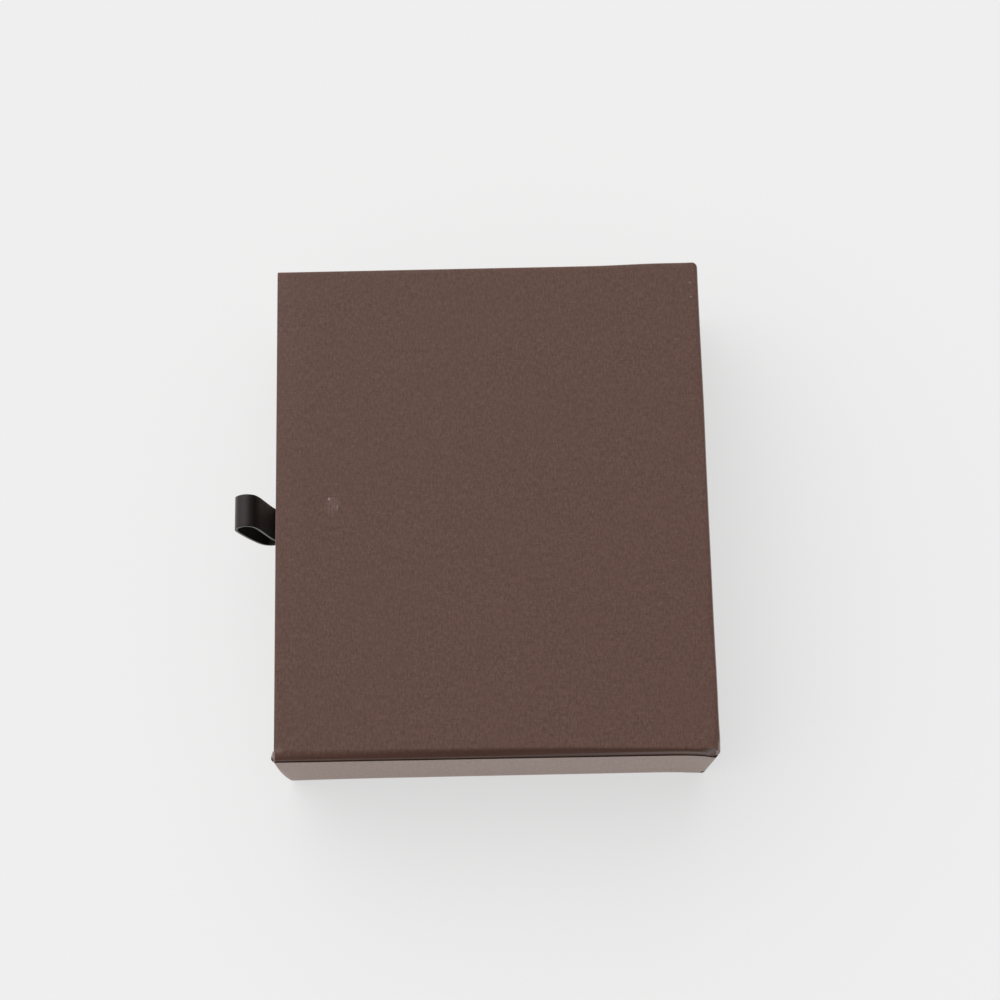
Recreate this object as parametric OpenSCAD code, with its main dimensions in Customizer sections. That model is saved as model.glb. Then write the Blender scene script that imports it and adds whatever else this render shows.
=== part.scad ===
// Sliding drawer gift box: a paper-wrapped board sleeve, closed at one end, with a drawer and a pull strap.
// X runs along the drawer's travel with the mouth at -X, Y runs across the box and Z is up.
// The origin is the centre of the sleeve's underside. All sizes are in millimetres.

/* [Sleeve] */
// Size of the sleeve along the drawer's travel
sleeve_depth = 124; // [100:1:160]
// Size of the sleeve across the travel
sleeve_width = 145; // [110:1:190]
// Height of the sleeve
sleeve_height = 45.5; // [36:0.5:60]
// Thickness of the walls and the base board
sleeve_board_t = 2; // [1.5:0.1:2.6]
// Thickness of the cover board
cover_board_t = 2; // [1.6:0.1:2.6]

/* [Paper] */
// Thickness of the embossed covering paper
wrap_t = 0.3; // [0.2:0.05:0.4]
// Thickness of the lining paper over a turn-in
lining_t = 0.2; // [0.15:0.05:0.3]
// Width of the covering paper that is turned in round an edge
turn_in = 12; // [8:1:18]
// Set-back of the base sheets and linings from the edge they stop at
sheet_inset = 2; // [1:0.5:4]
// Thickness of the gummed tape on the board corners
stay_t = 0.15; // [0.1:0.05:0.25]
// Length of each leg of the gummed tape
stay_leg = 14; // [8:1:20]

/* [Edges] */
// Roll of the cover along its two long edges
cover_roll = 3; // [2.2:0.1:3.4]
// Roll of the cover at the closed end
cover_end_roll = 2.2; // [1:0.1:3]
// Radius of the upright corners at the closed end
sleeve_corner_r = 1.5; // [0.8:0.1:2]
// Radius of the sleeve's bottom edges
sleeve_foot_r = 1; // [0.6:0.1:1.4]
// Radius of the drawer's upright corners
drawer_corner_r = 0.8; // [0.6:0.1:1.2]

/* [Drawer] */
// Thickness of the drawer's boards
drawer_board_t = 2; // [1.5:0.1:2.5]
// Gap on each side between drawer and sleeve
drawer_side_gap = 0.4; // [0.3:0.1:0.8]
// Gap between the drawer and the floor it slides on
drawer_floor_gap = 0.25; // [0.2:0.05:0.3]
// Gap over the drawer's rims
drawer_top_gap = 1; // [0.4:0.1:2]
// Gap behind the closed drawer
drawer_back_gap = 0.4; // [0.3:0.1:1]
// Set-back of the drawer front from the mouth
drawer_recess = 0.5; // [0:0.1:2]
// Height of the covering paper turned in over the drawer's rims
rim_turn_in = 14; // [8:1:20]
// Step from the drawer's rims down to its wall linings
lining_drop = 2; // [1:0.5:4]

/* [Pull strap] */
// Width of the strap
strap_w = 9.3; // [6:0.1:14]
// Thickness of the strap
strap_t = 0.8; // [0.6:0.1:1]
// Clearance round the strap in its slit
slit_gap = 0.1; // [0.05:0.05:0.2]
// Length of the lower tail, down the inside of the front board from the middle of the slit
tail_len = 14; // [9:1:15]
// Margin of the glued patch round the tails
patch_margin = 2; // [1:0.5:3]
// Step from the drawer's base board up to the patch
patch_lift = 0.8; // [0.5:0.1:3]
// Step from the drawer's wall linings down to the patch
patch_drop = 0.95; // [0.5:0.05:3]
// Thickness of the patch
patch_t = 0.2; // [0.15:0.05:0.3]
// Gap between the drawer front and the loop's root
root_gap = 0.3; // [0.25:0.05:0.3]
// Reach of the loop's crest out from its root
crest_reach = 8.3; // [7.6:0.1:9]
// Rise of the crest's centre over the slit
crest_rise = 18.2; // [15:0.1:19]
// Radius of the crest at the middle of the strap
crest_r = 3.2; // [2.6:0.1:3.6]
// Reach of the loop's belly out from its root
belly_reach = 4.9; // [4.6:0.1:5.4]
// Rise of the belly's centre over the slit
belly_rise = 1.6; // [1:0.1:2.4]
// Radius of the belly at the middle of the strap
belly_r = 3.2; // [2.8:0.1:3.6]

/* [Hidden] */
$fn = 64;
eps = 1;

// Colours of the papers, the boards and the strap
cover_brown = [0.31, 0.22, 0.19];
drawer_brown = [0.25, 0.17, 0.14];
lining_sand = [0.74, 0.66, 0.55];
grey_board = [0.55, 0.53, 0.49];
tape_tan = [0.68, 0.55, 0.38];
strap_dark = [0.09, 0.06, 0.05];

// Sleeve: outer planes, and the depth from an outer plane to each layer's inner face
mouth_x = -sleeve_depth / 2;
end_x = sleeve_depth / 2;
side_y = sleeve_width / 2;
skin_t = wrap_t + lining_t;
wall_in = wrap_t + sleeve_board_t;
room_in = wall_in + skin_t;
mouth_y = side_y - wall_in - wrap_t;

// Heights of the sleeve's layers
base_board_z = 2 * wrap_t;
floor_z = base_board_z + sleeve_board_t;
slide_z = floor_z + skin_t;
cover_board_z = sleeve_height - wrap_t - cover_board_t;
seam_z = cover_board_z - wrap_t;
ceiling_z = cover_board_z - skin_t;

// Drawer: outer planes and heights of its layers
drawer_front_x = mouth_x + drawer_recess;
drawer_back_x = end_x - room_in - drawer_back_gap;
drawer_side_y = side_y - room_in - drawer_side_gap;
drawer_z = slide_z + drawer_floor_gap;
rim_z = ceiling_z - drawer_top_gap;
drawer_board_z = drawer_z + 2 * wrap_t;
drawer_floor_z = drawer_board_z + drawer_board_t;
drawer_wall_in = wrap_t + drawer_board_t;
drawer_room_in = drawer_wall_in + skin_t;
front_inner_x = drawer_front_x + drawer_wall_in;

// Strap: the heights of its patch and tails, the slit, and the loop's root, belly and crest seen along Y
patch_low_z = drawer_floor_z + patch_lift;
patch_high_z = rim_z - lining_drop - patch_drop;
tails_low_z = patch_low_z + patch_margin;
tails_high_z = patch_high_z - patch_margin;
strap_z = tails_low_z + tail_len;
root = [drawer_front_x - root_gap - strap_t, strap_z];
belly = root + [-belly_reach, belly_rise];
crest = root + [-crest_reach, crest_rise];
slit_h = 2 * (strap_t + slit_gap);
slit_w = strap_w + 2 * slit_gap;
patch_half_w = strap_w / 2 + patch_margin;
patch_x = front_inner_x - patch_t;
tail_x = patch_x - strap_t;

// Square block between two corners
module block(low, high) {
    translate(low) cube(high - low);
}

// What is cut off a square corner at the origin, pointing to +X +Y, to round it with radius r
module corner_cut(r) {
    difference() {
        translate([-r, -r]) square(r + eps);
        translate([-r, -r]) circle(r);
    }
}

// Rectangle between two corners, with the corners at high X rounded: top one by r_high, bottom one by r_low
module end_rounded(low, high, r_low, r_high) {
    difference() {
        translate(low) square(high - low);
        if (r_high > 0) {
            translate(high) corner_cut(r_high);
        }
        if (r_low > 0) {
            translate([high[0], low[1]]) mirror([0, 1]) corner_cut(r_low);
        }
    }
}

// Rectangle from -half to half in X and between two heights, with its corners rounded on both sides
module both_rounded(half, z0, z1, r_low, r_high) {
    intersection() {
        end_rounded([-half, z0], [half, z1], r_low, r_high);
        mirror([1, 0]) end_rounded([-half, z0], [half, z1], r_low, r_high);
    }
}

// Plan of the sleeve, taken in by inset, with its corners rounded at the closed end
module sleeve_plan(inset) {
    r = sleeve_corner_r - inset;
    end_rounded([mouth_x + inset, inset - side_y], [end_x - inset, side_y - inset], max(r, 0), max(r, 0));
}

// Solid of the sleeve's outer form between two heights, taken in by inset
module sleeve_form(inset, z0, z1, foot_r, roll, end_roll) {
    intersection() {
        translate([0, 0, z0]) linear_extrude(z1 - z0) sleeve_plan(inset);
        rotate([90, 0, 90]) linear_extrude(2 * sleeve_depth, center = true)
            both_rounded(side_y - inset, z0, z1, foot_r, roll);
        rotate([90, 0, 0]) linear_extrude(2 * sleeve_width, center = true)
            end_rounded([mouth_x + inset, z0], [end_x - inset, z1], foot_r, end_roll);
    }
}

// Cover's form and the form under the cover's seam, each taken in by inset
module cover_form(inset, z0) {
    sleeve_form(inset, z0, sleeve_height - inset, 0, cover_roll - inset, cover_end_roll - inset);
}
module tray_form(inset, top = seam_z) {
    sleeve_form(inset, wrap_t + inset, top, sleeve_foot_r - inset, 0, 0);
}

// Zone round an upright corner that its tape covers
module stay_zone() {
    cube([2 * stay_leg, 2 * stay_leg, 4 * sleeve_height], center = true);
}

// Tape over the sleeve's corners from an outer inset inwards, with both ends longer by extra
module sleeve_stays(outer, extra) {
    intersection() {
        translate([0, 0, floor_z - extra]) linear_extrude(seam_z - floor_z + 2 * extra) difference() {
            sleeve_plan(outer);
            sleeve_plan(wrap_t + stay_t);
        }
        for (side = [-1, 1]) {
            translate([end_x, side * side_y, 0]) stay_zone();
        }
    }
}

// Upright board of the sleeve, with the tape pressed into it
module upright(low, high) {
    difference() {
        intersection() {
            block(low, high);
            tray_form(wrap_t);
        }
        sleeve_stays(0, eps);
    }
}

module cover_board() {
    color(grey_board) cover_form(wrap_t, cover_board_z);
}

module cover_wrap() {
    color(cover_brown) difference() {
        cover_form(0, seam_z);
        cover_form(wrap_t, cover_board_z);
        block(
            [mouth_x + turn_in, turn_in - side_y, seam_z - eps],
            [end_x - turn_in, side_y - turn_in, cover_board_z + eps]
        );
    }
}

module sleeve_base_board() {
    color(grey_board) intersection() {
        tray_form(wrap_t);
        block([mouth_x, -side_y, base_board_z], [end_x, side_y, floor_z]);
    }
}

module sleeve_near_wall() {
    color(grey_board) upright([mouth_x, -side_y, floor_z], [end_x, wall_in - side_y, seam_z]);
}

module sleeve_far_wall() {
    color(grey_board) upright([mouth_x, side_y - wall_in, floor_z], [end_x, side_y, seam_z]);
}

module sleeve_end_wall() {
    color(grey_board) upright(
        [end_x - wall_in, wall_in - side_y, floor_z],
        [end_x, side_y - wall_in, seam_z]
    );
}

module sleeve_corner_stays() {
    color(tape_tan) sleeve_stays(wrap_t, 0);
}

module sleeve_side_wrap() {
    color(cover_brown) {
        difference() {
            tray_form(0);
            tray_form(wrap_t, seam_z + eps);
            block(
                [mouth_x - eps, turn_in - side_y, 0],
                [end_x - turn_in, side_y - turn_in, base_board_z + eps]
            );
            block([mouth_x - eps, -mouth_y, 0], [mouth_x + wrap_t, mouth_y, seam_z + eps]);
            block([mouth_x - eps, -mouth_y, base_board_z], [mouth_x + wrap_t + eps, mouth_y, seam_z + eps]);
        }
        for (side = [0, 1]) {
            mirror([0, side])
                block([mouth_x, mouth_y, floor_z], [mouth_x + turn_in, side_y - wall_in, seam_z]);
        }
    }
}

module sleeve_base_sheet() {
    sheet_y = side_y - sheet_inset;
    color(cover_brown) {
        block([mouth_x, -mouth_y, 0], [end_x - sheet_inset, mouth_y, wrap_t]);
        block([mouth_x + sheet_inset, -sheet_y, 0], [end_x - sheet_inset, sheet_y, wrap_t]);
        block([mouth_x + wrap_t, turn_in - side_y, 0], [end_x - turn_in, side_y - turn_in, base_board_z]);
        block([mouth_x, -mouth_y, 0], [mouth_x + wrap_t, mouth_y, floor_z + wrap_t]);
        block([mouth_x, -mouth_y, floor_z], [mouth_x + turn_in, mouth_y, floor_z + wrap_t]);
    }
}

// Lining panel of the sleeve between two corners, thinned where the covering paper is turned in behind it
module sleeve_lining(low, high) {
    color(lining_sand) difference() {
        block(low, high);
        for (side = [0, 1]) {
            mirror([0, side]) block([mouth_x, mouth_y, 0], [mouth_x + turn_in, side_y, seam_z]);
        }
        block([mouth_x, -side_y, 0], [mouth_x + turn_in, side_y, floor_z + wrap_t]);
        difference() {
            block([mouth_x, -side_y, seam_z], [end_x, side_y, sleeve_height]);
            block(
                [mouth_x + turn_in, turn_in - side_y, 0],
                [end_x - turn_in, side_y - turn_in, sleeve_height + eps]
            );
        }
    }
}

module sleeve_ceiling_lining() {
    sleeve_lining(
        [mouth_x + sheet_inset, room_in - side_y, ceiling_z],
        [end_x - room_in, side_y - room_in, cover_board_z]
    );
}

module sleeve_floor_lining() {
    sleeve_lining(
        [mouth_x + sheet_inset, room_in - side_y, floor_z],
        [end_x - room_in, side_y - room_in, slide_z]
    );
}

module sleeve_near_lining() {
    sleeve_lining(
        [mouth_x + sheet_inset, wall_in - side_y, floor_z],
        [end_x - room_in, room_in - side_y, seam_z]
    );
}

module sleeve_far_lining() {
    sleeve_lining(
        [mouth_x + sheet_inset, side_y - room_in, floor_z],
        [end_x - room_in, side_y - wall_in, seam_z]
    );
}

module sleeve_end_lining() {
    sleeve_lining(
        [end_x - room_in, wall_in - side_y, floor_z],
        [end_x - wall_in, side_y - wall_in, seam_z]
    );
}

// Plan of the drawer, taken in by inset, with all four corners rounded
module drawer_plan(inset) {
    r = max(drawer_corner_r - inset, 0);
    mid_x = (drawer_front_x + drawer_back_x) / 2;
    half_x = (drawer_back_x - drawer_front_x) / 2 - inset;
    translate([mid_x, 0]) both_rounded(half_x, inset - drawer_side_y, drawer_side_y - inset, r, r);
}

// Band round the drawer between two insets and two heights
module drawer_band(outer, inner, z0, z1) {
    translate([0, 0, z0]) linear_extrude(z1 - z0) difference() {
        drawer_plan(outer);
        drawer_plan(inner);
    }
}

// Slit through the drawer's front for the doubled strap
module strap_slit() {
    translate([drawer_front_x - eps, -slit_w / 2, strap_z - slit_h / 2])
        cube([drawer_wall_in + 2 * eps, slit_w, slit_h]);
}

// Recess in the inside of the front board for the strap's tails and their patch
module strap_recess() {
    block([tail_x, -strap_w / 2, tails_low_z], [front_inner_x + eps, strap_w / 2, tails_high_z]);
    block([patch_x, -patch_half_w, patch_low_z], [front_inner_x + eps, patch_half_w, patch_high_z]);
}

// Tape over the drawer's corners from an outer inset inwards, with both ends longer by extra
module drawer_stays(outer, extra) {
    intersection() {
        drawer_band(outer, wrap_t + stay_t, drawer_floor_z - extra, rim_z - wrap_t + extra);
        for (x = [drawer_front_x, drawer_back_x], side = [-1, 1]) {
            translate([x, side * drawer_side_y, 0]) stay_zone();
        }
    }
}

// Upright board of the drawer, with the tape pressed into it
module drawer_upright(low, high) {
    difference() {
        intersection() {
            block(low, high);
            translate([0, 0, drawer_floor_z])
                linear_extrude(rim_z - wrap_t - drawer_floor_z) drawer_plan(wrap_t);
        }
        drawer_stays(0, eps);
    }
}

module drawer_base_board() {
    color(grey_board) translate([0, 0, drawer_board_z]) linear_extrude(drawer_board_t) drawer_plan(wrap_t);
}

module drawer_front_board() {
    color(grey_board) difference() {
        drawer_upright(
            [drawer_front_x, -drawer_side_y, drawer_floor_z],
            [front_inner_x, drawer_side_y, rim_z]
        );
        strap_slit();
        strap_recess();
    }
}

module drawer_back_board() {
    color(grey_board) drawer_upright(
        [drawer_back_x - drawer_wall_in, -drawer_side_y, drawer_floor_z],
        [drawer_back_x, drawer_side_y, rim_z]
    );
}

module drawer_near_board() {
    color(grey_board) drawer_upright(
        [front_inner_x, -drawer_side_y, drawer_floor_z],
        [drawer_back_x - drawer_wall_in, drawer_wall_in - drawer_side_y, rim_z]
    );
}

module drawer_far_board() {
    color(grey_board) drawer_upright(
        [front_inner_x, drawer_side_y - drawer_wall_in, drawer_floor_z],
        [drawer_back_x - drawer_wall_in, drawer_side_y, rim_z]
    );
}

module drawer_corner_stays() {
    color(tape_tan) drawer_stays(wrap_t, 0);
}

module drawer_wrap() {
    rim_in = drawer_wall_in + wrap_t;
    color(drawer_brown) difference() {
        union() {
            drawer_band(0, wrap_t, drawer_z + wrap_t, rim_z);
            drawer_band(0, rim_in, rim_z - wrap_t, rim_z);
            drawer_band(drawer_wall_in, rim_in, rim_z - rim_turn_in, rim_z);
            drawer_band(0, turn_in, drawer_z + wrap_t, drawer_board_z);
        }
        strap_slit();
    }
}

module drawer_base_sheet() {
    color(drawer_brown) {
        translate([0, 0, drawer_z]) linear_extrude(wrap_t) drawer_plan(sheet_inset);
        translate([0, 0, drawer_z]) linear_extrude(2 * wrap_t) drawer_plan(turn_in);
    }
}

// Lining panel of the drawer between two corners, thinned over the paper turned in at the rims
module drawer_lining(low, high) {
    color(lining_sand) difference() {
        block(low, high);
        drawer_band(0, drawer_wall_in + wrap_t, rim_z - rim_turn_in, rim_z);
    }
}

module drawer_floor_lining() {
    color(lining_sand) translate([0, 0, drawer_floor_z]) linear_extrude(skin_t) drawer_plan(drawer_room_in);
}

module drawer_front_lining() {
    drawer_lining(
        [front_inner_x, drawer_wall_in - drawer_side_y, drawer_floor_z],
        [front_inner_x + skin_t, drawer_side_y - drawer_wall_in, rim_z - lining_drop]
    );
}

module drawer_back_lining() {
    drawer_lining(
        [drawer_back_x - drawer_room_in, drawer_wall_in - drawer_side_y, drawer_floor_z],
        [drawer_back_x - drawer_wall_in, drawer_side_y - drawer_wall_in, rim_z - lining_drop]
    );
}

module drawer_near_lining() {
    drawer_lining(
        [front_inner_x + skin_t, drawer_wall_in - drawer_side_y, drawer_floor_z],
        [drawer_back_x - drawer_room_in, drawer_room_in - drawer_side_y, rim_z - lining_drop]
    );
}

module drawer_far_lining() {
    drawer_lining(
        [front_inner_x + skin_t, drawer_side_y - drawer_room_in, drawer_floor_z],
        [drawer_back_x - drawer_room_in, drawer_side_y - drawer_wall_in, rim_z - lining_drop]
    );
}

// Doubled strap in the slit, run into its tails, which spread up and down in the front board's recess
module strap_tails() {
    color(strap_dark) {
        block(
            [drawer_front_x, -strap_w / 2, strap_z - strap_t],
            [tail_x + strap_t / 2, strap_w / 2, strap_z + strap_t]
        );
        block([tail_x, -strap_w / 2, tails_low_z], [patch_x, strap_w / 2, tails_high_z]);
    }
}

module strap_patch() {
    color(tape_tan)
        block([patch_x, -patch_half_w, patch_low_z], [front_inner_x, patch_half_w, patch_high_z]);
}

// Where the outer tangent of two circles touches them, on the right hand going from the first to the second
function tangent_pair(c1, r1, c2, r2) =
    let (
        gap = norm(c2 - c1),
        along = (c2 - c1) / gap,
        lean = (r1 - r2) / gap,
        normal = lean * along + sqrt(1 - lean * lean) * [along[1], -along[0]]
    )
    [c1 + r1 * normal, c2 + r2 * normal];

// Outline that a band takes round root, crest and belly, offset from the strap's middle
module loop_outline(offset) {
    circles = [[root, strap_t / 2 + offset], [crest, crest_r + offset], [belly, belly_r + offset]];
    polygon([
        for (i = [0 : 2])
            let (a = circles[i], b = circles[(i + 1) % 3])
            each tangent_pair(a[0], a[1], b[0], b[1])
    ]);
    for (c = circles) {
        if (c[1] > 0) {
            translate(c[0]) circle(c[1]);
        }
    }
}

module pull_loop() {
    color(strap_dark) rotate([90, 0, 0]) linear_extrude(strap_w, center = true) difference() {
        loop_outline(strap_t / 2);
        loop_outline(-strap_t / 2);
    }
}

cover_board();
cover_wrap();
sleeve_base_board();
sleeve_near_wall();
sleeve_far_wall();
sleeve_end_wall();
sleeve_corner_stays();
sleeve_side_wrap();
sleeve_base_sheet();
sleeve_ceiling_lining();
sleeve_floor_lining();
sleeve_near_lining();
sleeve_far_lining();
sleeve_end_lining();
drawer_base_board();
drawer_front_board();
drawer_back_board();
drawer_near_board();
drawer_far_board();
drawer_corner_stays();
drawer_wrap();
drawer_base_sheet();
drawer_floor_lining();
drawer_front_lining();
drawer_back_lining();
drawer_near_lining();
drawer_far_lining();
strap_tails();
strap_patch();
pull_loop();
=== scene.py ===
import math

import bmesh
import bpy
from mathutils import Matrix, Vector, noise


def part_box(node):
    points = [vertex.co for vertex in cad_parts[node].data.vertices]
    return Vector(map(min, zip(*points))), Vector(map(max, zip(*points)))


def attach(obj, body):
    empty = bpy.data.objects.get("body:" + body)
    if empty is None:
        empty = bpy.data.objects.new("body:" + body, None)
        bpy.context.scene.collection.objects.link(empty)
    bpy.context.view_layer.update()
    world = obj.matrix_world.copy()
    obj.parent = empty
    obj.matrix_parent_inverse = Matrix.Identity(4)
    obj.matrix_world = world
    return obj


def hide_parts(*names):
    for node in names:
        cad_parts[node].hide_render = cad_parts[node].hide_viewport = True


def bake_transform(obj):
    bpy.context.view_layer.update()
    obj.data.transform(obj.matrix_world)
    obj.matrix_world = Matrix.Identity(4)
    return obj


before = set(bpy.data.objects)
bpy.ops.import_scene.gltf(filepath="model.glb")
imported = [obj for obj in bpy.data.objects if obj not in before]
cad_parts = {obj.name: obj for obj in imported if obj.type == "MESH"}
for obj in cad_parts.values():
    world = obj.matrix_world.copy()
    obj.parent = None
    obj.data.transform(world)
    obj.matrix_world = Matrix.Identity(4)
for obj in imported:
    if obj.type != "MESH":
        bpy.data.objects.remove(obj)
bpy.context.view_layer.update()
mm = 0.001

# The sleeve's outer planes, the heights of its layers and the strap's slit
coverLow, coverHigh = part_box("cover_wrap")
sideLow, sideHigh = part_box("sleeve_side_wrap")
drawerLow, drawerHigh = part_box("drawer_wrap")
tailsLow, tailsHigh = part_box("strap_tails")
mouthX = coverLow.x
endX = coverHigh.x
nearY = sideLow.y
farY = sideHigh.y
topZ = coverHigh.z
seamZ = coverLow.z
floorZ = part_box("sleeve_floor_lining")[0].z
slitX = tailsLow.x
slitZ = 22.75 * mm
up = Vector((0, 0, 1))
towardsNear = Vector((0, -1, 0))


def lerp(a, b, t):
    return a + (b - a) * t


def ease(t):
    t = max(0.0, min(1.0, t))
    return t * t * (3 - 2 * t)


def addObject(name, data):
    added = bpy.data.objects.new(name, data)
    bpy.context.scene.collection.objects.link(added)
    return added


def meshFrom(name, bm, materials):
    mesh = bpy.data.meshes.new(name)
    bm.to_mesh(mesh)
    bm.free()
    for material in materials:
        mesh.materials.append(material)
    return mesh


def shadeMesh(mesh, smoothAngle):
    mesh.shade_smooth()
    mesh.set_sharp_from_angle(angle=math.radians(smoothAngle))


def finishPiece(name, bm, materials, body, smoothAngle):
    mesh = meshFrom(name, bm, materials)
    piece = addObject(name, mesh)
    shadeMesh(mesh, smoothAngle)
    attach(piece, body)
    return piece


# Gives a sheet its thickness inwards and makes that its mesh, so that its rims shade as true edges
def thicken(piece, thickness, smoothAngle=35, backIndex=0):
    solid = piece.modifiers.new("paper thickness", "SOLIDIFY")
    solid.thickness = thickness
    solid.offset = -1
    solid.material_offset = backIndex
    solid.material_offset_rim = backIndex
    graph = bpy.context.evaluated_depsgraph_get()
    mesh = bpy.data.meshes.new_from_object(piece.evaluated_get(graph))
    piece.modifiers.clear()
    piece.data = mesh
    shadeMesh(mesh, smoothAngle)


# A walk in plan along straight runs and round corners, with the outside on the right hand
def walkPlan(points, radii, spacing, cornerSteps=6, closed=False):
    stops = []
    farAway = 1e9
    count = len(points)
    corners = range(count) if closed else range(1, count - 1)
    for i in range(count if closed else count - 1):
        j = (i + 1) % count
        a, b = points[i], points[j]
        along = (b - a).normalized()
        outward = Vector((along.y, -along.x))
        startTrim = radii[i] if i in corners else 0
        endTrim = radii[j] if j in corners else 0
        length = (b - a).length
        free = length - startTrim - endTrim
        steps = max(1, round(free / spacing))
        for k in range(steps + 1):
            reach = startTrim + free * k / steps
            stops.append({
                "place": a + along * reach, "outward": outward, "along": along,
                "before": reach if i in corners else farAway,
                "after": length - reach if j in corners else farAway,
                "centre": None, "run": i,
            })
        if j in corners:
            nextAlong = (points[(i + 2) % count] - b).normalized()
            nextOutward = Vector((nextAlong.y, -nextAlong.x))
            r = radii[j]
            centre = b - along * r - outward * r
            for k in range(1, cornerSteps):
                turn = math.radians(90) * k / cornerSteps
                out = outward * math.cos(turn) + nextOutward * math.sin(turn)
                stops.append({
                    "place": centre + out * r, "outward": out, "along": Vector((-out.y, out.x)),
                    "before": 0, "after": 0, "centre": centre, "diagonal": outward + nextOutward,
                    "radius": r, "run": i + 0.5,
                })
    return stops


# A stop of the walk moved inwards; past a corner's radius it runs along the corner's mitre
def insetStop(stop, depth):
    if stop["centre"] is not None:
        if depth <= stop["radius"]:
            return stop["place"] - stop["outward"] * depth
        return stop["centre"] - stop["diagonal"] * (depth - stop["radius"])
    slide = max(0.0, depth - stop["before"]) - max(0.0, depth - stop["after"])
    return stop["place"] - stop["outward"] * depth + stop["along"] * slide


def startRow(bm, key, stops, placeOf, closed=False):
    verts = []
    for i in range(len(stops)):
        vert = bm.verts.new(placeOf(i))
        vert[key] = i
        verts.append(vert)
    last = len(verts) if closed else len(verts) - 1
    return [bm.edges.new((verts[i], verts[(i + 1) % len(verts)])) for i in range(last)]


def extrudeEdges(bm, edges):
    made = bmesh.ops.extrude_edge_only(bm, edges=edges)["geom"]
    verts = [item for item in made if isinstance(item, bmesh.types.BMVert)]
    return verts, [item for item in made if isinstance(item, bmesh.types.BMEdge)]


def nextRow(bm, key, edges, placeOf):
    verts, edges = extrudeEdges(bm, edges)
    for vert in verts:
        vert.co = placeOf(vert[key])
    return edges


# Joins a row's two ends and fills it with one face
def fillRow(bm, key, edges):
    ends = sorted((v for e in edges for v in e.verts), key=lambda v: v[key])
    ring = edges + [bm.edges.new((ends[0], ends[-1]))]
    bmesh.ops.contextual_create(bm, geom=ring)
    return ring


def mergeSheet(bm):
    bmesh.ops.remove_doubles(bm, verts=bm.verts, dist=0.004 * mm)
    bmesh.ops.dissolve_degenerate(bm, edges=bm.edges, dist=0.002 * mm)
    bmesh.ops.recalc_face_normals(bm, faces=bm.faces)


# Turns a whole sheet over if one of its faces points against the way it should
def turnOut(bm, face, way):
    if face.normal.dot(way) < 0:
        bmesh.ops.reverse_faces(bm, faces=bm.faces)


def nearestFace(bm, spot):
    return min(bm.faces, key=lambda f: (f.calc_center_median() - spot).length)


def emptyTree(owner, outputKind):
    owner.use_nodes = True
    tree = owner.node_tree
    tree.nodes.clear()
    return tree, tree.nodes.new(outputKind)


def newMaterial(name):
    material = bpy.data.materials.new(name)
    tree, output = emptyTree(material, "ShaderNodeOutputMaterial")
    shader = tree.nodes.new("ShaderNodeBsdfPrincipled")
    tree.links.new(shader.outputs["BSDF"], output.inputs["Surface"])
    return material, tree, shader


def placeOnPiece(tree, scale, location):
    place = tree.nodes.new("ShaderNodeTexCoord")
    mapping = tree.nodes.new("ShaderNodeMapping")
    mapping.inputs["Scale"].default_value = scale
    mapping.inputs["Location"].default_value = location
    tree.links.new(place.outputs["Object"], mapping.inputs["Vector"])
    return mapping.outputs["Vector"]


def stretchedNoise(tree, stretch, detail, roughness, offset=(0, 0, 0)):
    texture = tree.nodes.new("ShaderNodeTexNoise")
    texture.inputs["Scale"].default_value = 1.0
    texture.inputs["Detail"].default_value = detail
    texture.inputs["Roughness"].default_value = roughness
    tree.links.new(placeOnPiece(tree, stretch, offset), texture.inputs["Vector"])
    return texture.outputs["Fac"]


def mathNode(tree, operation, a, b, clamp=False):
    node = tree.nodes.new("ShaderNodeMath")
    node.operation = operation
    node.use_clamp = clamp
    for socket, value in ((node.inputs[0], a), (node.inputs[1], b)):
        if isinstance(value, (int, float)):
            socket.default_value = value
        else:
            tree.links.new(value, socket)
    return node.outputs[0]


def times(tree, a, b, clamp=False):
    return mathNode(tree, "MULTIPLY", a, b, clamp)


def plus(tree, a, b):
    return mathNode(tree, "ADD", a, b)


def rangeNode(tree, value, fromLow, fromHigh, toLow, toHigh):
    node = tree.nodes.new("ShaderNodeMapRange")
    node.inputs["From Min"].default_value = fromLow
    node.inputs["From Max"].default_value = fromHigh
    node.inputs["To Min"].default_value = toLow
    node.inputs["To Max"].default_value = toHigh
    tree.links.new(value, node.inputs["Value"])
    return node.outputs["Result"]


def mixColour(tree, fac, a, b):
    node = tree.nodes.new("ShaderNodeMix")
    node.data_type = "RGBA"
    tree.links.new(fac, node.inputs["Factor"])
    for socket, value in ((node.inputs["A"], a), (node.inputs["B"], b)):
        if isinstance(value, tuple):
            socket.default_value = (*value, 1)
        else:
            tree.links.new(value, socket)
    return node.outputs["Result"]


# Lays a colour over another, from one share to the next as a pattern goes from low to high
def tint(tree, under, over, pattern, low, high, shareLow, shareHigh):
    return mixColour(tree, rangeNode(tree, pattern, low, high, shareLow, shareHigh), under, over)


# Colour, a roughness that follows a pattern, and bump
def dressShader(tree, shader, look, body, roughPattern, relief):
    tree.links.new(body, shader.inputs["Base Color"])
    rough = rangeNode(tree, roughPattern, 0.3, 0.7, *look["roughness"])
    tree.links.new(rough, shader.inputs["Roughness"])
    bump = tree.nodes.new("ShaderNodeBump")
    bump.inputs["Distance"].default_value = look["depth"]
    bump.inputs["Strength"].default_value = look["strength"]
    tree.links.new(relief, bump.inputs["Height"])
    tree.links.new(bump.outputs["Normal"], shader.inputs["Normal"])


# Millimetres; a stain is full out to its core, and the grain leaves at least the least of it
def stain(middle, reach, share, colour, core=0.3, least=0.3):
    return {"middle": middle, "reach": reach, "share": share, "colour": colour, "core": core, "least": least}


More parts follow.
